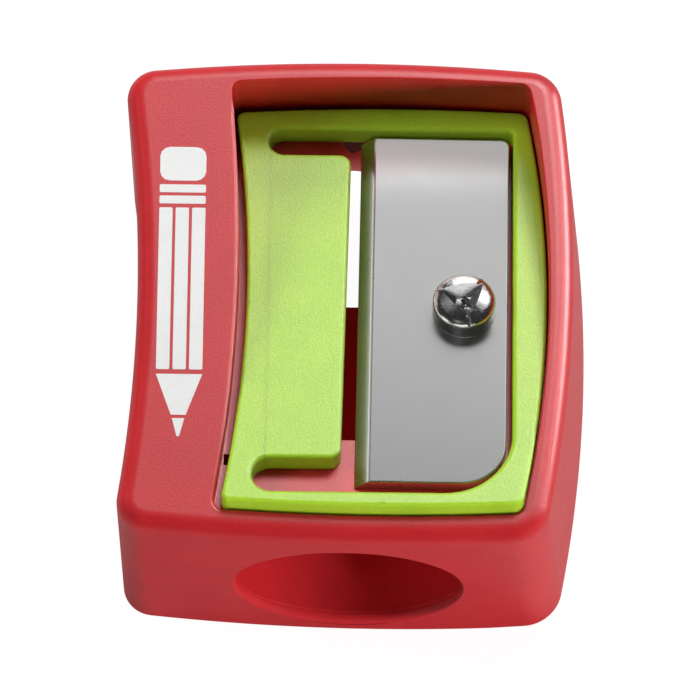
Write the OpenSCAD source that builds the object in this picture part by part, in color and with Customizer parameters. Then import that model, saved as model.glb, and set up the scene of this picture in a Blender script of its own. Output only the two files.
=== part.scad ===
// Single-hole hand pencil sharpener for thick pencils.
// Moulded body, clip-in plate with a flexing tongue, steel blade and blade screw.
// Millimetres. +Y runs the way the pencil goes in, +Z is up, the underside sits on Z = 0.

/* [Body] */
// Length of the body along the pencil
body_len = 36.3; // [30:0.1:44]
// Height of the body
body_h = 22; // [18:0.1:28]
// Left side at its waist, measured from the middle plane
left_waist = 15.62; // [13:0.01:20]
// Right side at the top edge, measured from the middle plane
right_top = 15.45; // [13:0.01:20]
// How far the right side flares out on its way down
right_flare = 1.35; // [0:0.05:3]
// Rounding of the top edge
top_round = 1.3; // [0.5:0.1:2]
// Rounding of the bottom edge
foot_round = 0.4; // [0.2:0.1:1]

/* [Pencil hole] */
// Bore diameter of the pencil guide
bore_d = 16.1; // [8:0.1:18]
// Height of the bore centre where it meets the front face
bore_z = 10.1; // [8:0.1:14]
// Sideways place of the bore
bore_x = -0.33; // [-2:0.01:2]
// Upward slope of the pencil axis toward the back, degrees
bore_rise = 7; // [0:0.5:12]
// Width of the eased lip round the hole
lip_w = 0.6; // [0.2:0.1:1]
// Radius of the pencil point at the end of the cone
tip_r = 1.2; // [0.6:0.1:2.5]

/* [Plate] */
// Slope of the plate and blade down toward the back, degrees
plate_tilt = 12; // [6:0.5:18]
// Thickness of the plate
plate_t = 1.8; // [1.2:0.1:2.6]
// Length of the plate along its slope
plate_len = 33.1; // [26:0.1:40]
// Height of the plate's front top edge above the table
plate_front_z = 23.25; // [18:0.05:30]
// Distance of the plate's front top edge behind the middle of the body
plate_front_y = -15.9; // [-20:0.05:-12]
// Greatest lift of the tongue used to draw its hinge relief, degrees
tongue_lift = 8; // [2:1:12]

/* [Blade] */
// Blade thickness
blade_t = 1.05; // [0.6:0.05:1.4]
// Blade width from cutting edge to back
blade_w = 10.7; // [8:0.1:14]
// Blade length
blade_len = 28.7; // [20:0.1:34]
// Width of the ground bevel
bevel_w = 1.2; // [0.6:0.1:2]

/* [Screw] */
// Screw head diameter
head_d = 4.5; // [3:0.1:6]
// Height of the straight side of the head
head_h = 1.6; // [0.6:0.05:2]
// Height of the domed top above the straight side
dome_h = 0.5; // [0.2:0.05:1]
// Shank diameter over the thread
shank_d = 2.5; // [1.6:0.1:3.5]
// Shank length below the head
shank_len = 5.2; // [3:0.1:7]

/* [Output] */
// Sub-part to draw

/* [Hidden] */
$fn = 96;
body_red = [0.76, 0.16, 0.2];
plate_green = [0.6, 0.77, 0.2];
steel_grey = [0.7, 0.71, 0.71];
screw_silver = [0.82, 0.82, 0.83];
far = 80;
eps = 0.02;

// A side is a circle: centre x, centre y, radius, +1 when it bulges out and -1 when it curves in.
half_len = body_len / 2;
front_bow = 170;
back_bow = 150;
right_bow = 98;
left_bow = 104;
corner_r = [2.2, 3.0, 2.4, 2.2];
front_side = [2, -half_len + front_bow, front_bow, 1];
back_side = [0, half_len - back_bow, back_bow, 1];
left_side = [-left_waist - left_bow, 0.5, left_bow, -1];

// Recess in the top that takes the plate.
pocket_front = -16.3;
pocket_back = 16.7;
pocket_left = -8.44;
pocket_right = 13.78;
pocket_r = 0.7;

// Pencil axis, cone and deck under the blade.
deck_y = plate_front_y - plate_t * sin(plate_tilt);
deck_z = plate_front_z - plate_t * cos(plate_tilt);
cone_half = bore_rise + plate_tilt;
deck_over_bore = (deck_z - bore_z + (half_len + deck_y) * tan(plate_tilt)) * cos(plate_tilt);
apex_s = deck_over_bore / sin(cone_half);
bore_r = bore_d / 2;
guide_s = apex_s - bore_r / tan(cone_half);
tip_s = apex_s - tip_r / tan(cone_half);

// Places in the sloping plate frame: x across, y up the slope from the front edge, z out of the face.
screw_x = 7.72;
screw_y = 16.45;
edge_x = 0.05;
blade_y = 2.3;
blade_yaw = -0.35;
deck_gap = 0.02;
pilot_r = shank_d / 2 + 0.04;
pilot_depth = 4.6;
slot_front = 1.15;
slot_front_w = 2.7;
slot_back = 31.25;
slot_back_w = 2.15;
slot_front_x = -7.2;
slot_back_x = -6.42;
rail_x = 11.2;
rail_corner = 4.8;
hinge_x = -6.6;
hinge_gap = 0.06;
tongue_front = slot_front + slot_front_w;
tongue_back = slot_back - slot_back_w;
tongue_edge_front = -0.93;
tongue_edge_back = -0.53;
tongue_r = 0.8;

function bow(c, a, d) = [c[0], c[1]] + (c[3] * c[2] - d) * [cos(a), sin(a)];

function crossing(p, pr, q, qr, s) =
    let (d = norm(q - p))
    let (a = (pr * pr - qr * qr + d * d) / (2 * d))
    let (h = sqrt(pr * pr - a * a))
    let (u = (q - p) / d)
    p + a * u + s * h * [-u[1], u[0]];

function nearer(a, b, hint) = norm(a - hint) < norm(b - hint) ? a : b;

function knuckle(c1, c2, r, hint) =
    let (p = [c1[0], c1[1]])
    let (q = [c2[0], c2[1]])
    let (pr = c1[2] - c1[3] * r)
    let (qr = c2[2] - c2[3] * r)
    nearer(crossing(p, pr, q, qr, 1), crossing(p, pr, q, qr, -1), hint);

function heading(c, k) = atan2(c[3] * (k[1] - c[1]), c[3] * (k[0] - c[0]));

function turn_up(a, b) = b < a ? turn_up(a, b + 360) : b - a > 360 ? turn_up(a, b - 360) : b;

function nudge(a, b) = b - a > 180 ? b - 360 : a - b > 180 ? b + 360 : b;

// Four curved sides joined by round corners, drawn in by d all round.
function outline(sides, radii, hints, d, cn, sn) =
    let (k = [for (i = [0:3]) knuckle(sides[(i + 3) % 4], sides[i], radii[i], hints[i])])
    [for (i = [0:3])
        let (prev = sides[(i + 3) % 4])
        let (side = sides[i])
        let (next = (i + 1) % 4)
        let (a0 = heading(prev, k[i]))
        let (a1 = turn_up(a0, heading(side, k[i])))
        let (b1 = nudge(a1, heading(side, k[next])))
        let (round_part = [for (j = [0:cn])
            k[i] + (radii[i] - d) * [cos(a0 + (a1 - a0) * j / cn), sin(a0 + (a1 - a0) * j / cn)]])
        let (side_part = [for (j = [1:sn - 1]) bow(side, a1 + (b1 - a1) * j / sn, d)])
        for (p = concat(round_part, side_part)) p];

body_hints = [[-14, -15], [13, -15], [13, 15], [-14, 15]];

function right_side(z) =
    let (x = right_top + right_flare * (1 - z / body_h))
    [x - right_bow, 2, right_bow, 1];

function body_ring(d, z) =
    [for (p = outline([front_side, right_side(z), back_side, left_side], corner_r, body_hints, d, 6, 10))
        [p[0], p[1], z]];

foot_steps = 3;
round_steps = 7;

function foot_level(j) =
    let (a = 90 * j / foot_steps)
    [foot_round * (1 - sin(a)), foot_round * (1 - cos(a))];

function top_level(j) =
    let (a = 90 * j / round_steps)
    [top_round * (1 - cos(a)), body_h - top_round + top_round * sin(a)];

levels = concat(
    [for (j = [0:foot_steps]) foot_level(j)],
    [for (j = [0:round_steps]) top_level(j)]);

module stacked(rings) {
    n = len(rings[0]);
    m = len(rings);
    points = [for (ring = rings) for (p = ring) p];
    skin = [for (i = [0:m - 2]) for (j = [0:n - 1])
        let (a = i * n + j)
        let (b = i * n + (j + 1) % n)
        for (t = [[a, a + n, b + n], [a, b + n, b]]) t];
    foot = [for (j = [0:n - 1]) j];
    roof = [for (j = [n - 1:-1:0]) (m - 1) * n + j];
    polyhedron(points = points, faces = concat([foot], [roof], skin), convexity = 6);
}

module body_shell() {
    stacked([for (v = levels) body_ring(v[0], v[1])]);
}

module on_plate() {
    translate([0, plate_front_y, plate_front_z])
        rotate([-plate_tilt, 0, 0])
            children();
}

module along_bore() {
    translate([bore_x, -half_len, bore_z])
        rotate([bore_rise - 90, 0, 0])
            children();
}

function pocket_sides(g) = [
    [2, pocket_front + g + 170, 170, 1],
    [pocket_right - g - 80, 0.8, 80, 1],
    [1.5, pocket_back - g - 150, 150, 1],
    [pocket_left + g - 120, 3, 120, -1]];

module pocket() {
    r = [pocket_r, pocket_r, pocket_r, pocket_r];
    hints = [[-8, -15], [12, -15], [12, 15], [-8, 15]];
    intersection() {
        translate([0, 0, body_h - 12])
            linear_extrude(height = 20)
                polygon(outline(pocket_sides(0), r, hints, 0, 4, 10));
        on_plate()
            translate([-far / 2, -far / 2, -plate_t])
                cube([far, far, far / 2]);
    }
}

// Straight guide, cone for the sharpened point and a short relief past the tip.
module pencil_hollow() {
    along_bore() {
        translate([0, 0, -3])
            cylinder(r = bore_r, h = guide_s + 3);
        translate([0, 0, guide_s - eps])
            cylinder(r1 = bore_r, r2 = tip_r, h = tip_s - guide_s + eps);
        translate([0, 0, tip_s - eps])
            cylinder(r = tip_r, h = 1.4);
    }
    translate([bore_x, -half_len - 1, bore_z])
        rotate([-90, 0, 0])
            cylinder(r1 = bore_r + lip_w + 1, r2 = bore_r - 0.15, h = 1 + lip_w + 0.15);
}

// Opening in the deck where the shaving comes up past the cutting edge.
module shaving_slot() {
    on_plate()
        translate([0, 0, -plate_t - 2.6])
            linear_extrude(height = 3)
                polygon([[-3.3, 6.25], [2.0, 6.25], [1.0, 28.8], [-1.9, 28.8]]);
}

// Window in the underside behind the pencil guide, open through the foot of the back wall.
window_front = 4.0;
window_back = 16.3;
window_half = 5.6;
notch_h = 4.3;

module dust_window() {
    intersection() {
        translate([bore_x - window_half, window_front, -1])
            cube([2 * window_half, window_back - window_front, far / 2]);
        along_bore()
            translate([-far / 2, 0, -far / 2])
                cube([far, far, far * 2]);
    }
    translate([bore_x - window_half, window_back - 1, -1])
        cube([2 * window_half, 6, notch_h + 1]);
}

core_wall = 1.6;

module core_pocket(x0, x1, y0, y1) {
    intersection() {
        translate([x0, y0, -1])
            cube([x1 - x0, y1 - y0, far / 2]);
        on_plate()
            translate([-far / 2, -far / 2, -plate_t - core_wall - far])
                cube([far, far, far]);
    }
}

module core_pockets() {
    core_pocket(-13.7, -10.0, -14.4, -1.2);
    core_pocket(-13.7, -10.0, 0.4, 14.6);
    core_pocket(10.3, 13.3, -14.0, -1.2);
    core_pocket(10.3, 13.3, 0.4, 14.2);
}

module screw_axis() {
    on_plate()
        translate([screw_x, screw_y, 0])
            children();
}

module clip_window() {
    on_plate()
        translate([-9.25, 4.1, -plate_t - 2])
            cube([0.9, 0.9, 2.5]);
}

module body() {
    color(body_red)
        difference() {
            body_shell();
            pocket();
            pencil_hollow();
            shaving_slot();
            dust_window();
            core_pockets();
            clip_window();
            screw_axis()
                translate([0, 0, -plate_t - pilot_depth])
                    cylinder(r = pilot_r, h = pilot_depth + 1, $fn = 48);
        }
}

// Outline of the green moulding in the sloping frame.
plate_sides = [
    [2, 170, 170, 1],
    [13.64 - 84, 17.2, 84, 1],
    [3, plate_len - 160, 160, 1],
    [-7.8 - 116, 18.3, 116, -1]];

module plate_outline() {
    r = [0.6, 0.6, 0.6, 0.6];
    hints = [[-8, 1], [12, 1], [12, 32], [-8, 32]];
    polygon(outline(plate_sides, r, hints, 0, 4, 12));
}

module blade_opening() {
    difference() {
        translate([tongue_edge_front, slot_front])
            square([rail_x - tongue_edge_front, slot_back - slot_front]);
        translate([rail_x - rail_corner, slot_front])
            difference() {
                translate([0, -1])
                    square([rail_corner + 1, rail_corner + 1]);
                translate([0, rail_corner])
                    circle(r = rail_corner);
            }
    }
}

module slot_end(x, y, w) {
    translate([x + w / 2, y + w / 2])
        circle(d = w, $fn = 48);
    translate([x + w / 2, y])
        square([-x, w]);
}

module plate() {
    color(plate_green)
        on_plate()
            translate([0, 0, -plate_t])
                linear_extrude(height = plate_t)
                    difference() {
                        plate_outline();
                        blade_opening();
                        slot_end(slot_front_x, slot_front, slot_front_w);
                        slot_end(slot_back_x, slot_back - slot_back_w, slot_back_w);
                        translate([hinge_x, tongue_front - 0.5])
                            square([-hinge_x, tongue_back - tongue_front + 1]);
                    }
}

// Flap that bends up along its left edge; the low side of the root is relieved.
module tongue() {
    x0 = hinge_x + hinge_gap;
    color(plate_green)
        on_plate()
            translate([0, 0, -plate_t + 0.05])
                linear_extrude(height = plate_t - 0.05) {
                    polygon([
                        [x0, tongue_front],
                        [tongue_edge_front - tongue_r, tongue_front],
                        [tongue_edge_front, tongue_front + tongue_r],
                        [tongue_edge_back, tongue_back - tongue_r],
                        [tongue_edge_back - tongue_r, tongue_back],
                        [x0, tongue_back]]);
                    translate([tongue_edge_front - tongue_r, tongue_front + tongue_r])
                        circle(r = tongue_r, $fn = 32);
                    translate([tongue_edge_back - tongue_r, tongue_back - tongue_r])
                        circle(r = tongue_r, $fn = 32);
                }
}

module blade_outline(x0) {
    big = 3.2;
    small = 0.65;
    difference() {
        translate([x0, 0])
            square([blade_w - x0, blade_len]);
        translate([blade_w - big, 0])
            difference() {
                translate([0, -1])
                    square([big + 1, big + 1]);
                translate([0, big])
                    circle(r = big);
            }
        translate([blade_w - small, blade_len - small])
            difference() {
                square([small + 1, small + 1]);
                circle(r = small, $fn = 48);
            }
    }
}

module on_blade() {
    on_plate()
        translate([edge_x, blade_y, -plate_t + deck_gap])
            rotate([0, 0, blade_yaw])
                children();
}

bevel_land = 0.06;

module blade() {
    color(steel_grey)
        difference() {
            on_blade()
                difference() {
                    linear_extrude(height = blade_t)
                        blade_outline(0);
                    translate([0, -1, bevel_land])
                        rotate([90, 0, 180])
                            mirror([1, 0, 0])
                                linear_extrude(height = blade_len + 2)
                                    polygon([[-1, 0], [0, 0], [bevel_w, blade_t - bevel_land],
                                        [bevel_w, blade_t], [-1, blade_t]]);
                }
            screw_axis()
                translate([0, 0, -plate_t - 1])
                    cylinder(r = shank_d / 2 + 0.15, h = 4, $fn = 48);
        }
}

head_z = -plate_t + deck_gap + blade_t + 0.01;
dome_r = (head_d * head_d / 4 + dome_h * dome_h) / (2 * dome_h);
key_r = 2.05;
key_depth = 0.8;

module screw() {
    color(screw_silver)
        screw_axis()
            translate([0, 0, head_z])
                difference() {
                    union() {
                        translate([0, 0, -shank_len + 0.6])
                            cylinder(d = shank_d, h = shank_len - 0.6 + eps, $fn = 48);
                        translate([0, 0, -shank_len])
                            cylinder(d1 = shank_d - 1.2, d2 = shank_d, h = 0.6 + eps, $fn = 48);
                        cylinder(d = head_d, h = head_h);
                        intersection() {
                            translate([0, 0, head_h + dome_h - dome_r])
                                sphere(r = dome_r);
                            translate([0, 0, head_h - eps])
                                cylinder(d = head_d, h = dome_h + 1);
                        }
                    }
                    translate([0, 0, head_h + dome_h - key_depth])
                        rotate([0, 0, -78])
                            cylinder(r = key_r, h = 2, $fn = 3);
                }
}

body();
plate();
tongue();
blade();
screw();
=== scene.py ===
from math import atan2, cos, hypot, pi, radians, sin, sqrt, tan

import bmesh
import bpy
from mathutils import Matrix, Vector


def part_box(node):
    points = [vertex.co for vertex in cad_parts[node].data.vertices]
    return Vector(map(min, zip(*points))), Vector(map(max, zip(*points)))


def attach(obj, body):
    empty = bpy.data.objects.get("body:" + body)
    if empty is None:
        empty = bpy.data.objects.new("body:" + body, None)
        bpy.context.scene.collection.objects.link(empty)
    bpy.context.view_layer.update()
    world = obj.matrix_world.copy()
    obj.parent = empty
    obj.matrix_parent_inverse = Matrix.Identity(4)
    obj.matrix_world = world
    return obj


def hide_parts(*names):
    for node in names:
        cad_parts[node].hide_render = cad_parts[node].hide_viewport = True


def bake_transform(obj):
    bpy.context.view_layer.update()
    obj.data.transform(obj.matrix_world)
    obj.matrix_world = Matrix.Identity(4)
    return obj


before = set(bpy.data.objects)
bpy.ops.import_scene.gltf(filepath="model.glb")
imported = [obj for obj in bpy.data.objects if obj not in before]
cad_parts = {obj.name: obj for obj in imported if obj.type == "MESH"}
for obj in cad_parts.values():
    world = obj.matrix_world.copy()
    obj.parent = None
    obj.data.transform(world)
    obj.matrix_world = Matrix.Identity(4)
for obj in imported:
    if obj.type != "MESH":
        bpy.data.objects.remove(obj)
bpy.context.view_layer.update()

# Pencil sharpener: a moulded body, a clip-in plate with a flexing tongue, a steel blade and its screw.
# Pieces are shaped in millimetres and shrunk to metres when they are finished.
MM = 0.001


def in_mm(corner):
    return Vector(corner) / MM


body_high = in_mm(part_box("body")[1])
plate_low, plate_high = map(in_mm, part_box("plate"))

HALF_LENGTH = body_high.y
TOP = body_high.z

# The plate slopes down toward the back; PLATE_FRONT is its front edge, on its top face.
TILT = radians(12)
PLATE_THICK = 1.8
PLATE_LENGTH = 33.1
PLATE_FRONT = (0, plate_low.y + PLATE_THICK * sin(TILT), plate_high.z)
DECK_NORMAL = (0, sin(TILT), cos(TILT))

# The bore rises toward the back and ends in the cone.
BORE_RADIUS = 8.05
BORE_RISE = radians(7)
BORE_MOUTH = (-0.33, -HALF_LENGTH, 10.1)
TIP_RADIUS = 1.2

# The blade lies on the deck and the screw head lies on the blade, each with a hair's gap.
DECK_GAP = 0.02
BLADE_THICK = 1.05
HEAD_GAP = 0.01
SCREW_SPOT = (7.72, 16.45)
HEAD_RADIUS = 2.25
HEAD_SEAT = -PLATE_THICK + DECK_GAP + BLADE_THICK + HEAD_GAP

WELD = 2e-3
CUT_SLACK = 1e-5

# ---------------------------------------------------------------- bench tools


def only(piece):
    """Leave edit mode and select this piece alone."""
    if bpy.context.object and bpy.context.object.mode != "OBJECT":
        bpy.ops.object.mode_set(mode="OBJECT")
    bpy.ops.object.select_all(action="DESELECT")
    piece.select_set(True)
    bpy.context.view_layer.objects.active = piece


def work_on(piece):
    only(piece)
    bpy.ops.object.mode_set(mode="EDIT")


def put_down():
    bpy.ops.object.mode_set(mode="OBJECT")


def pick(piece, kind, wanted):
    """Select the faces, edges or points that the test wants."""
    mesh = bmesh.from_edit_mesh(piece.data)
    bpy.ops.mesh.select_mode(type=kind)
    bpy.ops.mesh.select_all(action="DESELECT")
    parts = {"FACE": mesh.faces, "EDGE": mesh.edges, "VERT": mesh.verts}[kind]
    for part in parts:
        if wanted(part):
            part.select_set(True)
    mesh.select_flush_mode()
    bmesh.update_edit_mesh(piece.data)


def level(edge, z, slack=1e-3):
    """True for an edge that lies at height z."""
    return all(abs(v.co.z - z) < slack for v in edge.verts)


def middle_of(edge):
    return (edge.verts[0].co + edge.verts[1].co) / 2


def settle(piece):
    """Put the piece's place, turn and size into its mesh."""
    only(piece)
    bpy.ops.object.transform_apply(location=True, rotation=True, scale=True)


def standing_edge(name, x, y, low, high):
    """The start of a wall: one upright edge, selected."""
    tall = high - low
    place = (x + tall / 2, y, (low + high) / 2)
    bpy.ops.mesh.primitive_plane_add(size=tall, location=place, rotation=(pi / 2, 0, 0))
    wall = bpy.context.object
    wall.name = name
    settle(wall)
    work_on(wall)
    pick(wall, "VERT", lambda v: v.co.x > x + tall / 2)
    bpy.ops.mesh.delete(type="VERT")
    bpy.ops.mesh.select_all(action="SELECT")
    return wall


def wall_straight(dx, dy):
    bpy.ops.mesh.extrude_region_move(TRANSFORM_OT_translate={"value": (dx, dy, 0)})


def wall_round(x, y, sweep, steps):
    bpy.ops.mesh.spin(steps=steps, angle=sweep, center=(x, y, 0), axis=(0, 0, -1))


def close_wall(wall, low, high):
    """Join the wall's ends and cap it below and above."""
    bpy.ops.mesh.select_all(action="SELECT")
    bpy.ops.mesh.remove_doubles(threshold=WELD)
    for z in (low, high):
        pick(wall, "EDGE", lambda e, z=z: level(e, z) and e.is_boundary)
        bpy.ops.mesh.edge_face_add()
    bpy.ops.mesh.select_all(action="SELECT")
    bpy.ops.mesh.normals_make_consistent(inside=False)


def corner_centre(one, other, radius, near):
    """Centre of the round that joins two bowed sides."""
    ax, ay, ar, aout = one
    bx, by, br, bout = other
    ra, rb = ar - aout * radius, br - bout * radius
    gap = hypot(bx - ax, by - ay)
    along = (ra * ra - rb * rb + gap * gap) / (2 * gap)
    off = sqrt(ra * ra - along * along)
    ux, uy = (bx - ax) / gap, (by - ay) / gap
    spots = [(ax + along * ux - s * off * uy, ay + along * uy + s * off * ux) for s in (1, -1)]
    return min(spots, key=lambda p: hypot(p[0] - near[0], p[1] - near[1]))


def heading(side, spot):
    x, y, _, out = side
    return atan2(out * (spot[1] - y), out * (spot[0] - x))


def bowed_block(name, sides, rounds, near, low, high, corner_steps, side_steps):
    """A block on four bowed sides, each (x, y, radius, +1 out or -1 in), with round corners."""
    spots = [corner_centre(sides[i - 1], sides[i], rounds[i], near[i]) for i in range(4)]
    start = heading(sides[-1], spots[0])
    x = spots[0][0] + rounds[0] * cos(start)
    y = spots[0][1] + rounds[0] * sin(start)
    block = standing_edge(name, x, y, low, high)
    for i in range(4):
        into = heading(sides[i - 1], spots[i])
        away = heading(sides[i], spots[i])
        wall_round(*spots[i], (away - into) % (2 * pi), corner_steps)
        end = heading(sides[i], spots[(i + 1) % 4])
        wall_round(sides[i][0], sides[i][1], (end - away + pi) % (2 * pi) - pi, side_steps)
    close_wall(block, low, high)
    return block


def box_block(name, low, high):
    low, high = Vector(low), Vector(high)
    bpy.ops.mesh.primitive_cube_add(size=1, location=(low + high) / 2, scale=high - low)
    block = bpy.context.object
    block.name = name
    settle(block)
    return block


def upright_round(block, radius, steps=4, shortest=0.5):
    """Round the standing edges of a block."""
    work_on(block)
    pick(block, "EDGE", lambda e: abs(e.verts[0].co.z - e.verts[1].co.z) > shortest)
    bpy.ops.mesh.bevel(offset=radius, segments=steps, affect="EDGES", clamp_overlap=False)


def slice_off(point, normal):
    """Cut the piece in hand on a plane and drop what is on the side that the normal points to."""
    bpy.ops.mesh.select_mode(type="FACE")
    bpy.ops.mesh.select_all(action="SELECT")
    bpy.ops.mesh.bisect(plane_co=point, plane_no=normal, clear_outer=True, use_fill=True,
                        threshold=CUT_SLACK)


def score(point, across):
    """Cut a line of edges round the piece in hand, without parting it."""
    bpy.ops.mesh.select_mode(type="FACE")
    bpy.ops.mesh.select_all(action="SELECT")
    bpy.ops.mesh.bisect(plane_co=point, plane_no=across, threshold=CUT_SLACK)


def lay_on_slope(piece):
    """Turn a piece made flat down onto the sloping plate frame."""
    if bpy.context.object.mode == "EDIT":
        put_down()
    piece.location = PLATE_FRONT
    piece.rotation_euler = (-TILT, 0, 0)
    settle(piece)


def carve(piece, *tools):
    """Cut each tool's shape out of the piece."""
    for tool in tools:
        only(piece)
        cut = piece.modifiers.new("cut", "BOOLEAN")
        cut.operation, cut.solver, cut.object = "DIFFERENCE", "EXACT", tool
        bpy.ops.object.modifier_apply(modifier=cut.name)
        bpy.data.objects.remove(tool)


def ease_marked(piece, most, steps):
    """Round the edges that carry a bevel weight, most millimetres at full weight."""
    only(piece)
    ease = piece.modifiers.new("ease", "BEVEL")
    ease.limit_method, ease.width, ease.segments = "WEIGHT", most, steps
    ease.use_clamp_overlap = False
    bpy.ops.object.modifier_apply(modifier=ease.name)


def mark_edges(piece, share, wanted):
    """Give the wanted edges a share of the rounding that ease_marked makes."""
    pick(piece, "EDGE", wanted)
    bpy.ops.transform.edge_bevelweight(value=-1)
    bpy.ops.transform.edge_bevelweight(value=share)


def shade(piece, angle=32):
    """Smooth the rounds and keep the flats flat."""
    only(piece)
    bpy.ops.object.shade_smooth_by_angle(angle=radians(angle))
    even = piece.modifiers.new("even", "WEIGHTED_NORMAL")
    even.keep_sharp = True
    even.weight = 90
    bpy.ops.object.modifier_apply(modifier=even.name)


def to_metres(piece):
    only(piece)
    piece.scale = (MM, MM, MM)
    bpy.ops.object.transform_apply(location=True, rotation=True, scale=True)


# ---------------------------------------------------------------- finishes


def finish_for(name):
    coat = bpy.data.materials.new(name)
    coat.use_nodes = True
    nodes, links = coat.node_tree.nodes, coat.node_tree.links
    return coat, nodes, links, nodes["Principled BSDF"]


def on_piece(nodes):
    return nodes.new("ShaderNodeTexCoord").outputs["Object"]


def grain(nodes, links, source, size, detail=2.0, rough=0.5):
    """Noise whose spots are about size millimetres across."""
    spots = nodes.new("ShaderNodeTexNoise")
    spots.inputs["Scale"].default_value = 1 / (size * MM)
    spots.inputs["Detail"].default_value = detail
    spots.inputs["Roughness"].default_value = rough
    links.new(source, spots.inputs["Vector"])
    return spots.outputs["Fac"]


def between(nodes, links, amount, low, high, start=0.0, stop=1.0):
    ramp = nodes.new("ShaderNodeMapRange")
    ramp.inputs["From Min"].default_value = start
    ramp.inputs["From Max"].default_value = stop
    ramp.inputs["To Min"].default_value = low
    ramp.inputs["To Max"].default_value = high
    links.new(amount, ramp.inputs["Value"])
    return ramp.outputs["Result"]


def two_tone(nodes, links, amount, first, second):
    mix = nodes.new("ShaderNodeMix")
    mix.data_type = "RGBA"
    mix.inputs["A"].default_value = (*first, 1)
    mix.inputs["B"].default_value = (*second, 1)
    links.new(amount, mix.inputs["Factor"])
    return mix.outputs["Result"]


def raise_by(nodes, links, height, depth):
    """Bump of the given depth in millimetres."""
    bump = nodes.new("ShaderNodeBump")
    bump.inputs["Strength"].default_value = 1.0
    bump.inputs["Distance"].default_value = depth * MM
    links.new(height, bump.inputs["Height"])
    return bump.outputs["Normal"]


def times(nodes, links, first, second):
    product = nodes.new("ShaderNodeMath")
    product.operation = "MULTIPLY"
    links.new(first, product.inputs[0])
    links.new(second, product.inputs[1])
    return product.outputs["Value"]


def plus(nodes, links, first, second):
    total = nodes.new("ShaderNodeMath")
    total.operation = "ADD"
    links.new(first, total.inputs[0])
    links.new(second, total.inputs[1])
    return total.outputs["Value"]


def within(nodes, links, value, middle, reach):
    """1 where the value is no more than reach millimetres from the middle."""
    test = nodes.new("ShaderNodeMath")
    test.operation = "COMPARE"
    links.new(value, test.inputs[0])
    test.inputs[1].default_value = middle * MM
    test.inputs[2].default_value = reach * MM
    return test.outputs["Value"]


# The deck under the plate is etched too: the middle of its block and how far it reaches each way.
DECK_MIDDLE = (2.4, 0.2, 18.2)
DECK_REACH = (11.4, 16.6, 4.0)
FLOW_MARKS = 4.0


def moulded_plastic(name, low, high, gloss, grain_size, grain_depth, smooth_gloss=None, etched_above=0.0):
    """Fine even mould grain with faint flow marks.

    With a smooth_gloss the grain shows only above the etched height and on the deck.
    """
    coat, nodes, links, plastic = finish_for(name)
    place = on_piece(nodes)
    fine = grain(nodes, links, place, grain_size, 2, 0.55)
    broad = grain(nodes, links, place, FLOW_MARKS, 2, 0.5)
    specks = grain(nodes, links, place, grain_size * 1.6, 2, 0.6)
    mottle = plus(nodes, links, between(nodes, links, broad, 0, 0.5, 0.35, 0.65),
                  between(nodes, links, specks, 0, 0.5, 0.4, 0.6))
    links.new(two_tone(nodes, links, mottle, low, high), plastic.inputs["Base Color"])
    if smooth_gloss is None:
        rough = between(nodes, links, fine, gloss - 0.05, gloss + 0.07, 0.3, 0.7)
        relief = fine
    else:
        split = nodes.new("ShaderNodeSeparateXYZ")
        links.new(place, split.inputs["Vector"])
        above = between(nodes, links, split.outputs["Z"], 0, 1, (etched_above - 0.1) * MM, etched_above * MM)
        across, along, up = [within(nodes, links, split.outputs[axis], middle, reach)
                             for axis, middle, reach in zip("XYZ", DECK_MIDDLE, DECK_REACH)]
        deck = times(nodes, links, across, times(nodes, links, along, up))
        etched = plus(nodes, links, above, deck)
        rough = plus(nodes, links, between(nodes, links, etched, smooth_gloss, gloss),
                     between(nodes, links, fine, -0.04, 0.06, 0.3, 0.7))
        relief = times(nodes, links, fine, between(nodes, links, etched, 0.15, 1.0))
    links.new(rough, plastic.inputs["Roughness"])
    links.new(raise_by(nodes, links, relief, grain_depth), plastic.inputs["Normal"])
    return coat


# The streaks are stretched along the blade: their scale there is this share of the scale across it.
STREAK_SHARE = 0.03


def satin_steel(name, tone, gloss, streak_depth):
    """Ground steel: fine streaks along the blade and faint cloudy spots."""
    coat, nodes, links, steel = finish_for(name)
    steel.inputs["Metallic"].default_value = 1
    place = on_piece(nodes)
    stretch = nodes.new("ShaderNodeMapping")
    stretch.inputs["Scale"].default_value = (1, STREAK_SHARE, 1)
    links.new(place, stretch.inputs["Vector"])
    streaks = grain(nodes, links, stretch.outputs["Vector"], 0.09, 3, 0.6)
    clouds = grain(nodes, links, place, 3.0, 3, 0.55)
    links.new(two_tone(nodes, links, clouds, [c * 0.98 for c in tone], [min(1, c * 1.02) for c in tone]),
              steel.inputs["Base Color"])
    links.new(between(nodes, links, clouds, gloss - 0.01, gloss + 0.02, 0.3, 0.7), steel.inputs["Roughness"])
    links.new(raise_by(nodes, links, streaks, streak_depth), steel.inputs["Normal"])
    return coat


def nickel_plate(name, tone, gloss, pit_depth):
    """Bright plate with small dull pits."""
    coat, nodes, links, nickel = finish_for(name)
    nickel.inputs["Metallic"].default_value = 1
    place = on_piece(nodes)
    pits = grain(nodes, links, place, 0.22, 4, 0.65)
    links.new(two_tone(nodes, links, pits, [c * 0.86 for c in tone], tone), nickel.inputs["Base Color"])
    links.new(between(nodes, links, pits, gloss - 0.05, gloss + 0.1, 0.35, 0.7), nickel.inputs["Roughness"])
    links.new(raise_by(nodes, links, pits, pit_depth), nickel.inputs["Normal"])
    return coat


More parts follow.
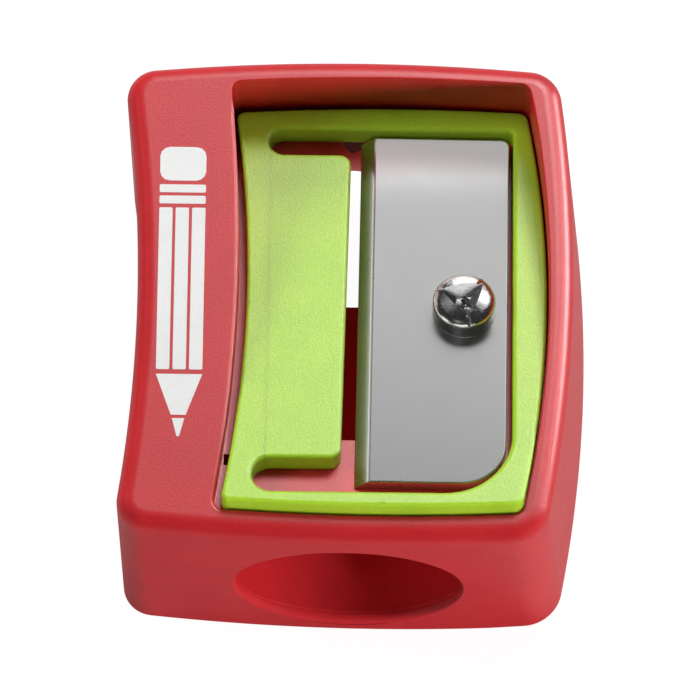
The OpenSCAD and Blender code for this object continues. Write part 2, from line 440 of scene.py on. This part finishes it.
body_finish = moulded_plastic("body red plastic", (0.58, 0.020, 0.026), (0.66, 0.027, 0.034),
                              gloss=0.42, grain_size=0.135, grain_depth=0.014,
                              smooth_gloss=0.33, etched_above=TOP - 0.05)
plate_finish = moulded_plastic("plate green plastic", (0.33, 0.56, 0.026), (0.40, 0.62, 0.038),
                               gloss=0.42, grain_size=0.15, grain_depth=0.017)
glow_through = plate_finish.node_tree.nodes["Principled BSDF"]
glow_through.inputs["Subsurface Weight"].default_value = 0.5
glow_through.inputs["Subsurface Radius"].default_value = (1.0, 1.0, 0.25)
glow_through.inputs["Subsurface Scale"].default_value = 0.0009
blade_finish = satin_steel("blade steel", (0.62, 0.62, 0.62), gloss=0.28, streak_depth=0.0015)
screw_finish = nickel_plate("screw nickel", (0.84, 0.84, 0.83), gloss=0.18, pit_depth=0.016)
# The recess in the screw head gets a darker grey than the head: painted shade for its dark hollow.
recess_shade_finish = nickel_plate("screw recess painted shade", (0.40, 0.40, 0.40), gloss=0.36, pit_depth=0.04)
ink_finish = moulded_plastic("white ink", (0.88, 0.88, 0.87), (0.93, 0.93, 0.92),
                             gloss=0.5, grain_size=0.15, grain_depth=0.004)


def dress(piece, coat):
    piece.data.materials.clear()
    piece.data.materials.append(coat)


# ---------------------------------------------------------------- body

# Each bowed side is an arc: its centre's x and y, its radius, and +1 bulging out or -1 waisted.
FRONT_SIDE = (2, -HALF_LENGTH + 170, 170, 1)
RIGHT_SIDE = (15.45 - 98, 2, 98, 1)
BACK_SIDE = (0, HALF_LENGTH - 150, 150, 1)
LEFT_SIDE = (-15.62 - 104, 0.5, 104, -1)
CORNER_ROUNDS = [2.2, 3.0, 2.4, 2.2]
SIDE_FLARE = 1.35
FOOT_SHARE = 0.9937
TOP_EASE = 1.3
FOOT_EASE = 0.4
CORE_ROOF = 1.6
RIM_EASE = 0.3
BACK_LAND = 15.2


def deck_point(below=0.0):
    """A point this far below the deck that the plate lies on."""
    return Vector(PLATE_FRONT) - Vector(DECK_NORMAL) * (PLATE_THICK + below)


def make_shell():
    near = [(-14, -15), (13, -15), (13, 15), (-14, 15)]
    shell = bowed_block("body", [FRONT_SIDE, RIGHT_SIDE, BACK_SIDE, LEFT_SIDE],
                        CORNER_ROUNDS, near, 0, TOP, 14, 22)
    pick(shell, "VERT", lambda v: v.co.z < 1 and v.co.x > 10.5)
    bpy.ops.transform.translate(value=(SIDE_FLARE, 0, 0))
    bpy.ops.transform.resize(value=(1, FOOT_SHARE, 1), center_override=(0, 1.4, 0))
    pick(shell, "EDGE", lambda e: level(e, TOP))
    bpy.ops.mesh.bevel(offset=TOP_EASE, segments=9, profile=0.5, affect="EDGES", clamp_overlap=False)
    pick(shell, "EDGE", lambda e: level(e, 0))
    bpy.ops.mesh.bevel(offset=FOOT_EASE, segments=3, profile=0.5, affect="EDGES", clamp_overlap=False)
    for across in ((1, 0, 0), (0, 1, 0)):
        score((1.3, 1.3, 0), across)
    put_down()
    return shell


def recess_tool():
    near = [(-8, -15), (12, -15), (12, 15), (-8, 15)]
    sides = [(2, -16.3 + 170, 170, 1), (13.78 - 80, 0.8, 80, 1),
             (1.5, 16.7 - 150, 150, 1), (-8.44 - 120, 3, 120, -1)]
    tool = bowed_block("recess", sides, [0.7] * 4, near, 10, TOP + 2, 8, 22)
    slice_off(deck_point(), [-c for c in DECK_NORMAL])
    put_down()
    return tool


def bore_tool():
    reach = ((deck_point().z - BORE_MOUTH[2] + (HALF_LENGTH + deck_point().y) * tan(TILT)) * cos(TILT))
    apex = reach / sin(BORE_RISE + TILT)
    guide = apex - BORE_RADIUS / tan(BORE_RISE + TILT)
    tip = apex - TIP_RADIUS / tan(BORE_RISE + TILT)
    lead = 3
    bpy.ops.mesh.primitive_cylinder_add(vertices=128, radius=BORE_RADIUS, depth=guide + lead,
                                        location=(0, 0, (guide - lead) / 2))
    tool = bpy.context.object
    settle(tool)
    work_on(tool)
    pick(tool, "FACE", lambda f: f.normal.z > 0.9)
    bpy.ops.mesh.extrude_region_move(TRANSFORM_OT_translate={"value": (0, 0, tip - guide)})
    shrink = TIP_RADIUS / BORE_RADIUS
    bpy.ops.transform.resize(value=(shrink, shrink, 1))
    bpy.ops.mesh.extrude_region_move(TRANSFORM_OT_translate={"value": (0, 0, 1.4)})
    put_down()
    tool.location = BORE_MOUTH
    tool.rotation_euler = (BORE_RISE - pi / 2, 0, 0)
    settle(tool)
    return tool


def lip_tool(ease=0.7, steps=7):
    """Trumpet that eases the mouth of the bore into the front face."""
    wide = BORE_RADIUS + ease
    bpy.ops.mesh.primitive_cylinder_add(vertices=128, radius=wide, depth=2, location=(0, 0, -1 + 0.06))
    tool = bpy.context.object
    settle(tool)
    work_on(tool)
    pick(tool, "FACE", lambda f: f.normal.z > 0.9)
    last = wide
    for i in range(1, steps + 1):
        turn = pi / 2 * i / steps
        radius = wide - ease * sin(turn)
        rise = ease * (1 - cos(turn)) - ease * (1 - cos(turn - pi / 2 / steps))
        bpy.ops.mesh.extrude_region_move(TRANSFORM_OT_translate={"value": (0, 0, rise)})
        bpy.ops.transform.resize(value=(radius / last, radius / last, 1))
        last = radius
    bpy.ops.mesh.extrude_region_move(TRANSFORM_OT_translate={"value": (0, 0, 0.4)})
    bpy.ops.transform.resize(value=(0.96, 0.96, 1))
    put_down()
    tool.location = BORE_MOUTH
    tool.rotation_euler = (-pi / 2, 0, radians(-0.8))
    settle(tool)
    return tool


def shaving_slot_tool():
    tool = box_block("shaving slot", (-3.3, 6.25, -4.4), (2.0, 28.8, -1.4))
    work_on(tool)
    pick(tool, "VERT", lambda v: v.co.y > 20)
    bpy.ops.transform.resize(value=(2.9 / 5.3, 1, 1))
    bpy.ops.transform.translate(value=(0.2, 0, 0))
    lay_on_slope(tool)
    return tool


def dust_window_tools():
    x = BORE_MOUTH[0]
    window = box_block("window", (x - 5.6, 4.0, -1), (x + 5.6, 16.3, 30))
    upright_round(window, 0.5)
    slice_off(BORE_MOUTH, (0, -sin(BORE_RISE), cos(BORE_RISE)))
    put_down()
    notch = box_block("notch", (x - 5.6, 15.3, -1), (x + 5.6, 21.3, 4.3))
    work_on(notch)
    pick(notch, "EDGE", lambda e: level(e, 4.3) and abs(e.verts[0].co.x - e.verts[1].co.x) < 0.1)
    bpy.ops.mesh.bevel(offset=0.8, segments=5, affect="EDGES", clamp_overlap=False)
    put_down()
    return [window, notch]


def core_pocket_tools():
    made = []
    for x0, x1, y0, y1 in ((-13.7, -10.0, -14.4, -1.2), (-13.7, -10.0, 0.4, 14.6),
                           (10.3, 13.3, -14.0, -1.2), (10.3, 13.3, 0.4, 14.2)):
        pocket = box_block("core", (x0, y0, -1), (x1, y1, 30))
        upright_round(pocket, 0.6)
        slice_off(deck_point(CORE_ROOF), DECK_NORMAL)
        put_down()
        made.append(pocket)
    return made


def pilot_tool():
    bpy.ops.mesh.primitive_cylinder_add(vertices=48, radius=1.29, depth=5.6,
                                        location=(*SCREW_SPOT, -PLATE_THICK - 4.6 + 2.8))
    tool = bpy.context.object
    settle(tool)
    lay_on_slope(tool)
    return tool


def clip_window_tool():
    tool = box_block("clip window", (-9.25, 4.1, -3.8), (-8.35, 5.0, -1.3))
    lay_on_slope(tool)
    return tool


def on_recess_rim(edge):
    """True where the top face meets the recess."""
    middle = middle_of(edge)
    return (level(edge, TOP) and -10.8 < middle.x < 14.4 and -16.9 < middle.y < 16.95
            and any(abs(f.normal.z) < 0.5 for f in edge.link_faces))


def make_body():
    body = make_shell()
    carve(body, recess_tool(), bore_tool(), lip_tool(), shaving_slot_tool(), *dust_window_tools(),
          *core_pocket_tools(), clip_window_tool(), pilot_tool())
    work_on(body)
    for share, part in ((0.2, lambda m: m.y > BACK_LAND),
                        (0.45, lambda m: m.y <= BACK_LAND and m.x > 0),
                        (1.0, lambda m: m.y <= BACK_LAND and m.x < -5.5),
                        (0.6, lambda m: m.y < -15 and m.x > -8)):
        mark_edges(body, share, lambda e: on_recess_rim(e) and part(middle_of(e)))
    put_down()
    ease_marked(body, RIM_EASE, 4)
    shade(body)
    dress(body, body_finish)
    to_metres(body)
    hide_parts("body")
    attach(body, "holder")
    return body


# ---------------------------------------------------------------- plate and tongue

# The tongue meets the plate at SEAM. A slot frees it at each end: centre x and y, and half its width.
SEAM = -6.3
FRONT_SLOT = (-5.85, 2.5, 1.35)
BACK_SLOT = (-5.345, 30.175, 1.075)
TONGUE_EDGE = (-0.93, -0.53)
TONGUE_ROUND = 0.8
TONGUE_EASE = 0.26
PLATE_EASE = 0.34

# Where the rounds at the right end of the opening start, front and back.
FRONT_CORNER = (6.4, 5.95)
BACK_CORNER = (10.85, 30.9)


def on_slot(slot, side):
    """Height up the slope where a slot's round end crosses the seam, and the angle there."""
    x, y, radius = slot
    rise = side * sqrt(radius ** 2 - (SEAM - x) ** 2)
    return y + rise, atan2(rise, SEAM - x)


def on_top_outline(edge):
    """True on the top face's outline, but not along the tongue's seam."""
    return level(edge, 0) and not all(abs(v.co.x - SEAM) < 0.01 for v in edge.verts)


def round_opening(edge):
    middle = middle_of(edge)
    return on_top_outline(edge) and -7.3 < middle.x < 11.3 and 1.1 < middle.y < 31.3


def make_plate():
    near = [(-8, 1), (12, 1), (12, 32), (-8, 32)]
    sides = [(2, 170, 170, 1), (13.64 - 84, 17.2, 84, 1),
             (3, PLATE_LENGTH - 160, 160, 1), (-7.82 - 100, 18.0, 100, -1)]
    plate = bowed_block("plate", sides, [0.5, 0.7, 0.7, 0.6], near, -PLATE_THICK, 0, 7, 22)
    for across in ((1, 0, 0), (0, 1, 0)):
        score((2.3, 16.4, 0), across)
    put_down()

    start, into = on_slot(FRONT_SLOT, 1)
    stop, away = on_slot(BACK_SLOT, -1)
    window = standing_edge("opening", SEAM, start, -3, 1)
    wall_round(FRONT_SLOT[0], FRONT_SLOT[1], 3 * pi / 2 - into, 14)
    wall_straight(FRONT_CORNER[0] - FRONT_SLOT[0], 0)
    wall_round(*FRONT_CORNER, pi / 2, 14)
    wall_straight(0, BACK_CORNER[1] - FRONT_CORNER[1])
    wall_round(*BACK_CORNER, pi / 2, 5)
    wall_straight(BACK_SLOT[0] - BACK_CORNER[0], 0)
    wall_round(BACK_SLOT[0], BACK_SLOT[1], (away % (2 * pi)) - pi / 2, 14)
    wall_straight(0, start - stop)
    close_wall(window, -3, 1)
    put_down()
    carve(plate, window)

    work_on(plate)
    mark_edges(plate, 0.75, on_top_outline)
    mark_edges(plate, 1.0, round_opening)
    put_down()
    ease_marked(plate, PLATE_EASE, 5)
    lay_on_slope(plate)
    shade(plate)
    dress(plate, plate_finish)
    to_metres(plate)
    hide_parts("plate")
    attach(plate, "holder")
    return plate


def make_tongue():
    start, into = on_slot(FRONT_SLOT, 1)
    stop, away = on_slot(BACK_SLOT, -1)
    front = FRONT_SLOT[1] + FRONT_SLOT[2]
    back = BACK_SLOT[1] - BACK_SLOT[2]
    low = -PLATE_THICK + 0.05
    r = TONGUE_ROUND
    tongue = standing_edge("tongue", SEAM, start, low, 0)
    wall_round(FRONT_SLOT[0], FRONT_SLOT[1], pi / 2 - into, 4)
    wall_straight(TONGUE_EDGE[0] - r - FRONT_SLOT[0], 0)
    wall_round(TONGUE_EDGE[0] - r, front + r, pi / 2, 8)
    wall_straight(TONGUE_EDGE[1] - TONGUE_EDGE[0], back - front - 2 * r)
    wall_round(TONGUE_EDGE[1] - r, back - r, pi / 2, 8)
    wall_straight(BACK_SLOT[0] - TONGUE_EDGE[1] + r, 0)
    wall_round(BACK_SLOT[0], BACK_SLOT[1], away + pi / 2, 6)
    wall_straight(0, start - stop)
    close_wall(tongue, low, 0)
    pick(tongue, "EDGE", on_top_outline)
    bpy.ops.mesh.bevel(offset=TONGUE_EASE, segments=4, profile=0.5, affect="EDGES", clamp_overlap=False)
    for line in range(6):
        score((SEAM + 0.2 + 0.25 * line, 0, 0), (1, 0, 0))
    lay_on_slope(tongue)
    shade(tongue)
    dress(tongue, plate_finish)
    to_metres(tongue)
    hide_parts("tongue")
    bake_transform(tongue)
    return tongue


# ---------------------------------------------------------------- blade

BLADE = (10.7, 28.7, BLADE_THICK)
BLADE_SEAT = (0.05, 2.3, -PLATE_THICK + DECK_GAP)
FRONT_ROUND = 3.2
BACK_ROUND = 0.65
GRIND = 1.2
LAND = 0.06


def on_grind(vert):
    return abs(vert.co.x - GRIND) < 0.05


def make_blade():
    wide, long, thick = BLADE
    blade = standing_edge("blade", 0, 0, 0, thick)
    wall_straight(wide - FRONT_ROUND, 0)
    wall_round(wide - FRONT_ROUND, FRONT_ROUND, pi / 2, 16)
    wall_straight(0, long - FRONT_ROUND - BACK_ROUND)
    wall_round(wide - BACK_ROUND, long - BACK_ROUND, pi / 2, 6)
    wall_straight(-(wide - BACK_ROUND), 0)
    wall_straight(0, -long)
    close_wall(blade, 0, thick)
    slice_off((0, 0, LAND), (-(thick - LAND), 0, GRIND))
    pick(blade, "EDGE", lambda e: level(e, thick) and not all(on_grind(v) for v in e.verts))
    bpy.ops.mesh.bevel(offset=0.12, segments=3, profile=0.5, affect="EDGES", clamp_overlap=False)
    pick(blade, "EDGE", lambda e: all(on_grind(v) and v.co.z > thick - 0.01 for v in e.verts)
         and abs(e.verts[0].co.y - e.verts[1].co.y) > 5)
    bpy.ops.mesh.bevel(offset=0.05, segments=2, profile=0.5, affect="EDGES", clamp_overlap=False)
    put_down()
    blade.location = BLADE_SEAT
    blade.rotation_euler = (0, 0, radians(-0.35))
    settle(blade)
    bpy.ops.mesh.primitive_cylinder_add(vertices=48, radius=1.4, depth=4, location=(*SCREW_SPOT, -1))
    hole = bpy.context.object
    settle(hole)
    carve(blade, hole)
    lay_on_slope(blade)
    shade(blade, 25)
    dress(blade, blade_finish)
    to_metres(blade)
    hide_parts("blade")
    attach(blade, "blade_unit")
    return blade


# ---------------------------------------------------------------- screw

HEAD_SIDE = 1.6
DOME = 0.5
CROWN = HEAD_SIDE + DOME
HEAD_FOOT = HEAD_RADIUS - 0.06
SHANK_RADIUS = 1.25
SHANK_LENGTH = 4.5
THREAD_PITCH = 0.45
THREAD_DEPTH = 0.22
RIM_NICKS = (-80, 51, 157)


def draw_out(last, radius, rise):
    """Pull the picked end along the screw and bring it from the last radius to the next."""
    bpy.ops.mesh.extrude_region_move(TRANSFORM_OT_translate={"value": (0, 0, rise)})
    bpy.ops.transform.resize(value=(radius / last, radius / last, 1))


def draw_head(head):
    """Straight side, rounded rim and low dome."""
    ball = (HEAD_RADIUS ** 2 + DOME ** 2) / (2 * DOME)
    rings = [(HEAD_RADIUS, 0.1), (HEAD_RADIUS, HEAD_SIDE - 0.4), (HEAD_RADIUS - 0.015, HEAD_SIDE - 0.27),
             (HEAD_RADIUS - 0.055, HEAD_SIDE - 0.15), (HEAD_RADIUS - 0.12, HEAD_SIDE - 0.045),
             (HEAD_RADIUS - 0.21, HEAD_SIDE + 0.035)]
    rings += [(r, CROWN - ball + sqrt(ball ** 2 - r ** 2)) for r in (1.9, 1.7, 1.45, 1.2, 0.9, 0.6, 0.3)]
    pick(head, "FACE", lambda f: f.normal.z > 0.9)
    last, height = HEAD_FOOT, 0.06
    for radius, z in rings:
        draw_out(last, radius, z - height)
        last, height = radius, z


def draw_shank(head):
    """Rings of thread, then the tapered end."""
    root = SHANK_RADIUS - THREAD_DEPTH
    steps = [(root, 0.0)]
    for _ in range(int(SHANK_LENGTH / THREAD_PITCH)):
        steps += [(SHANK_RADIUS, THREAD_PITCH * 0.42), (SHANK_RADIUS, THREAD_PITCH * 0.16),
                  (root, THREAD_PITCH * 0.42)]
    steps += [(SHANK_RADIUS - 0.6, 0.55)]
    pick(head, "FACE", lambda f: f.normal.z < -0.9)
    last = HEAD_FOOT
    for radius, drop in steps:
        draw_out(last, radius, -drop)
        last = radius


def sink(head, coat):
    """Cut the shape that was just added into the head; the cut takes the coat."""
    tool = bpy.context.object
    settle(tool)
    tool.data.materials.append(coat)
    carve(head, tool)


def make_screw():
    bpy.ops.mesh.primitive_cylinder_add(vertices=72, radius=HEAD_FOOT, depth=0.06, location=(0, 0, 0.03))
    head = bpy.context.object
    head.name = "screw"
    settle(head)
    work_on(head)
    draw_head(head)
    draw_shank(head)
    put_down()

    head.data.materials.append(screw_finish)
    bpy.ops.mesh.primitive_cone_add(vertices=3, radius1=0.62, radius2=2.6, depth=1.25,
                                    location=(0.02, 0.10, CROWN - 1.0 + 0.625),
                                    rotation=(0, 0, radians(-170)))
    # The recess walls and floor take the darker grey: painted shade in the hollow.
    sink(head, recess_shade_finish)
    for turn in RIM_NICKS:
        spot = (2.2 * cos(radians(turn)), 2.2 * sin(radians(turn)), CROWN - 0.16)
        bpy.ops.mesh.primitive_cube_add(size=1, location=spot, scale=(1.5, 0.72, 0.72),
                                        rotation=(radians(45), radians(30), radians(turn)))
        sink(head, screw_finish)
    bpy.ops.mesh.primitive_cone_add(vertices=24, radius1=0.04, radius2=0.5, depth=0.4,
                                    location=(0.1, 0.02, CROWN - 1.12))
    sink(head, screw_finish)

    head.location = (*SCREW_SPOT, HEAD_SEAT)
    settle(head)
    lay_on_slope(head)
    shade(head, 28)
    to_metres(head)
    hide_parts("screw")
    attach(head, "screw_unit")
    return head


# ---------------------------------------------------------------- printed mark

MARK_X = -12.5
MARK_HALF = 1.65
MARK_GAP = 0.22
INK = 0.02


def ink_bar(x0, x1, y0, y1, ease):
    bar = box_block("ink", (x0, y0, TOP - 0.01), (x1, y1, TOP + INK))
    if ease > 0:
        upright_round(bar, ease, steps=3, shortest=0.01)
        put_down()
    return bar


def full_bar(y0, y1, ease):
    """A bar as wide as the pencil."""
    return ink_bar(MARK_X - MARK_HALF, MARK_X + MARK_HALF, y0, y1, ease)


def taper(bar, front_of, share):
    """Narrow the end of a bar that lies in front of the given place."""
    work_on(bar)
    pick(bar, "VERT", lambda v: v.co.y < front_of)
    bpy.ops.transform.resize(value=(share, 1, 1))
    put_down()
    return bar


def make_mark():
    """A plain pencil printed on the strip beside the plate."""
    lane = (2 * MARK_HALF - 2 * MARK_GAP) / 3
    bars = []
    for i in range(3):
        x0 = MARK_X - MARK_HALF + i * (lane + MARK_GAP)
        bars.append(ink_bar(x0, x0 + lane, -5.6, 6.6, 0.1))
    bars += [full_bar(6.9, 7.5, 0.1), full_bar(7.75, 8.35, 0.1), full_bar(8.65, 11.2, 0.7)]
    bars.append(taper(full_bar(-9.0, -5.95, 0), -8, 0.32))
    lead = MARK_HALF * 0.27
    bars.append(taper(ink_bar(MARK_X - lead, MARK_X + lead, -10.6, -9.25, 0), -10, 0.2))
    bpy.ops.object.select_all(action="DESELECT")
    for bar in bars:
        bar.select_set(True)
    bpy.context.view_layer.objects.active = bars[0]
    bpy.ops.object.join()
    mark = bpy.context.object
    mark.name = "printed_pencil"
    dress(mark, ink_finish)
    to_metres(mark)
    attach(mark, "holder")
    return mark


body = make_body()
plate = make_plate()
tongue = make_tongue()
blade = make_blade()
screw = make_screw()
mark = make_mark()

# ---------------------------------------------------------------- studio

plastics = bpy.data.collections.new("plastics")
metals = bpy.data.collections.new("metals")
greens = bpy.data.collections.new("greens")
for piece in (plate, tongue):
    greens.objects.link(piece)

for piece in (blade, screw):
    metals.objects.link(piece)


def toward(azimuth, elevation):
    """Direction by compass: 0 is the front, 90 the right, 180 the back."""
    a, e = radians(azimuth), radians(elevation)
    return Vector((sin(a) * cos(e), -cos(a) * cos(e), sin(e)))


LIT_HEIGHT = 0.018


def softbox(name, azimuth, elevation, far, wide, tall, brightness, receivers, diffuse=True, gloss=True,
            tint=(1, 1, 1)):
    """A soft light that shows only on the receivers; it may leave out their diffuse light or their gloss."""
    lamp = bpy.data.lights.new(name, "AREA")
    lamp.shape, lamp.size, lamp.size_y = "RECTANGLE", wide, tall
    lamp.energy = pi * wide * tall * brightness
    lamp.color = tint
    box = bpy.data.objects.new(name, lamp)
    bpy.context.scene.collection.objects.link(box)
    way = toward(azimuth, elevation)
    box.location = Vector((0, 0, LIT_HEIGHT)) + way * far
    box.rotation_euler = way.to_track_quat("Z", "Y").to_euler()
    box.visible_diffuse, box.visible_glossy = diffuse, gloss
    box.visible_camera = False
    box.light_linking.receiver_collection = receivers
    return box


def studio_light(name, azimuth, elevation, strength, diffuse=True, gloss=True, receivers=plastics):
    """A square softbox, 18 degrees wide as seen from the part."""
    return softbox(name, azimuth, elevation, 0.5, 0.158, 0.158, 13 * strength, receivers, diffuse, gloss)


def steel_light(name, azimuth, elevation, wide, tall, brightness):
    """A softbox 0.3 m away for the blade and the screw."""
    return softbox(name, azimuth, elevation, 0.3, wide, tall, brightness, metals)


studio_light("key", 151, 50, 1.38)
studio_light("top fill", 180, 82, 0.38, gloss=False, receivers=greens)
studio_light("slot fill", 12, 42, 0.35, gloss=False, receivers=greens)
studio_light("back low fill", 180, 25, 0.75, gloss=False)
studio_light("front fill", 45, 2, 2.9, gloss=False)
studio_light("left back fill", -100, 34, 0.95, gloss=False)
studio_light("left front fill", -60, 10, 0.29, gloss=False)
studio_light("back sheen", 163, 49, 1.5, diffuse=False)
studio_light("back right sheen", 140, 50, 0.52, diffuse=False)
studio_light("right glint", 110, 8, 2.0, diffuse=False)
studio_light("right sheen", 110, 35, 0.7, diffuse=False)
softbox("steel sky", 172, 36, 0.18, 0.13, 0.115, 0.92, metals)
steel_light("steel back low", 176, 15, 0.16, 0.08, 1.5)
steel_light("steel right", 140, 36, 0.12, 0.14, 1.5)
steel_light("steel left", -122, 9, 0.16, 0.08, 0.8)
steel_light("steel left back", -146, 52, 0.10, 0.10, 0.28)
steel_light("steel front", 0, 20, 0.30, 0.14, 1.3)
steel_light("steel top front", -25, 62, 0.06, 0.05, 0.6)
steel_light("steel front left", -60, 15, 0.12, 0.12, 1.4)

# Two strips inside the recess that light only the steel.
near_wall = softbox("steel near wall", 180, 0, 0.0157, 0.014, 0.0062, 0.68, metals, tint=(0.9, 1, 1))
near_wall.location = (0.0055, 0.0157, 0.0193)
near_tongue = softbox("steel near tongue", -90, 0, 0.02, 0.026, 0.0013, 0.9, metals)
near_tongue.location = (-0.0004, -0.00035, 0.01975)
facing_right = toward(-90, 0).to_track_quat("Z", "Y").to_matrix()
near_tongue.rotation_euler = (Matrix.Rotation(-TILT, 3, "X") @ facing_right).to_euler()


def make_world():
    """White behind the part, and only a little light from all round."""
    world = bpy.data.worlds.new("studio")
    bpy.context.scene.world = world
    world.use_nodes = True
    nodes, links = world.node_tree.nodes, world.node_tree.links
    air = nodes["Background"]
    air.inputs["Color"].default_value = (1, 1, 1, 1)
    seen = nodes.new("ShaderNodeLightPath")
    amount = nodes.new("ShaderNodeMapRange")
    amount.inputs["To Min"].default_value = 0.03
    amount.inputs["To Max"].default_value = 1.0
    links.new(seen.outputs["Is Camera Ray"], amount.inputs["Value"])
    links.new(amount.outputs["Result"], air.inputs["Strength"])


def glow_of(nodes, strength):
    glow = nodes.new("ShaderNodeEmission")
    glow.inputs["Strength"].default_value = strength
    return glow.outputs[0]


def choose(nodes, links, amount, first, second):
    pair = nodes.new("ShaderNodeMixShader")
    for socket, source in zip(pair.inputs, (amount, first, second)):
        links.new(source, socket)
    return pair.outputs[0]


def floor_paper():
    """White paper to the camera, darker matt paper to the part, and clear from below.

    It glows where it almost touches the part, so the underside is not black when seen from below.
    """
    paper, nodes, links, matt = finish_for("floor paper")
    matt.inputs["Base Color"].default_value = (0.42, 0.42, 0.42, 1)
    matt.inputs["Roughness"].default_value = 0.9
    faint = nodes.new("ShaderNodeBsdfDiffuse")
    faint.inputs["Color"].default_value = (0.12, 0.12, 0.12, 1)
    white = nodes.new("ShaderNodeAddShader")
    links.new(glow_of(nodes, 0.96), white.inputs[0])
    links.new(faint.outputs[0], white.inputs[1])
    path = nodes.new("ShaderNodeLightPath")
    near = nodes.new("ShaderNodeMath")
    near.operation = "LESS_THAN"
    near.inputs[1].default_value = 0.0001
    links.new(path.outputs["Ray Length"], near.inputs[0])
    side = nodes.new("ShaderNodeNewGeometry")
    clear = nodes.new("ShaderNodeBsdfTransparent")
    to_part = choose(nodes, links, near.outputs[0], matt.outputs[0], glow_of(nodes, 0.5))
    above = choose(nodes, links, path.outputs["Is Camera Ray"], to_part, white.outputs[0])
    whole = choose(nodes, links, side.outputs["Backfacing"], above, clear.outputs[0])
    links.new(whole, nodes["Material Output"].inputs["Surface"])
    return paper


def make_floor():
    bpy.ops.object.select_all(action="DESELECT")
    bpy.ops.mesh.primitive_plane_add(size=6, location=(0, 0, -0.00002))
    floor = bpy.context.object
    floor.name = "floor"
    settle(floor)
    dress(floor, floor_paper())
    return floor


CAMERA_AIM = (-0.43, -0.27, 11.0)
CAMERA_FAR = 0.6


def make_camera():
    """A long lens from high in front."""
    lens = bpy.data.cameras.new("camera")
    lens.lens = 425.8
    lens.sensor_width = 36
    lens.clip_start, lens.clip_end = 0.01, 20
    camera = bpy.data.objects.new("camera", lens)
    bpy.context.scene.collection.objects.link(camera)
    way = toward(0.75, 71.3)
    camera.location = Vector(CAMERA_AIM) * MM + way * CAMERA_FAR
    camera.rotation_mode = "QUATERNION"
    camera.rotation_quaternion = way.to_track_quat("Z", "Y")
    bpy.context.scene.camera = camera


make_world()
floor = make_floor()
for piece in (body, plate, tongue, mark, floor):
    plastics.objects.link(piece)

make_camera()
bpy.context.scene.view_settings.view_transform = "Standard"
bpy.context.scene.cycles.max_bounces = 8
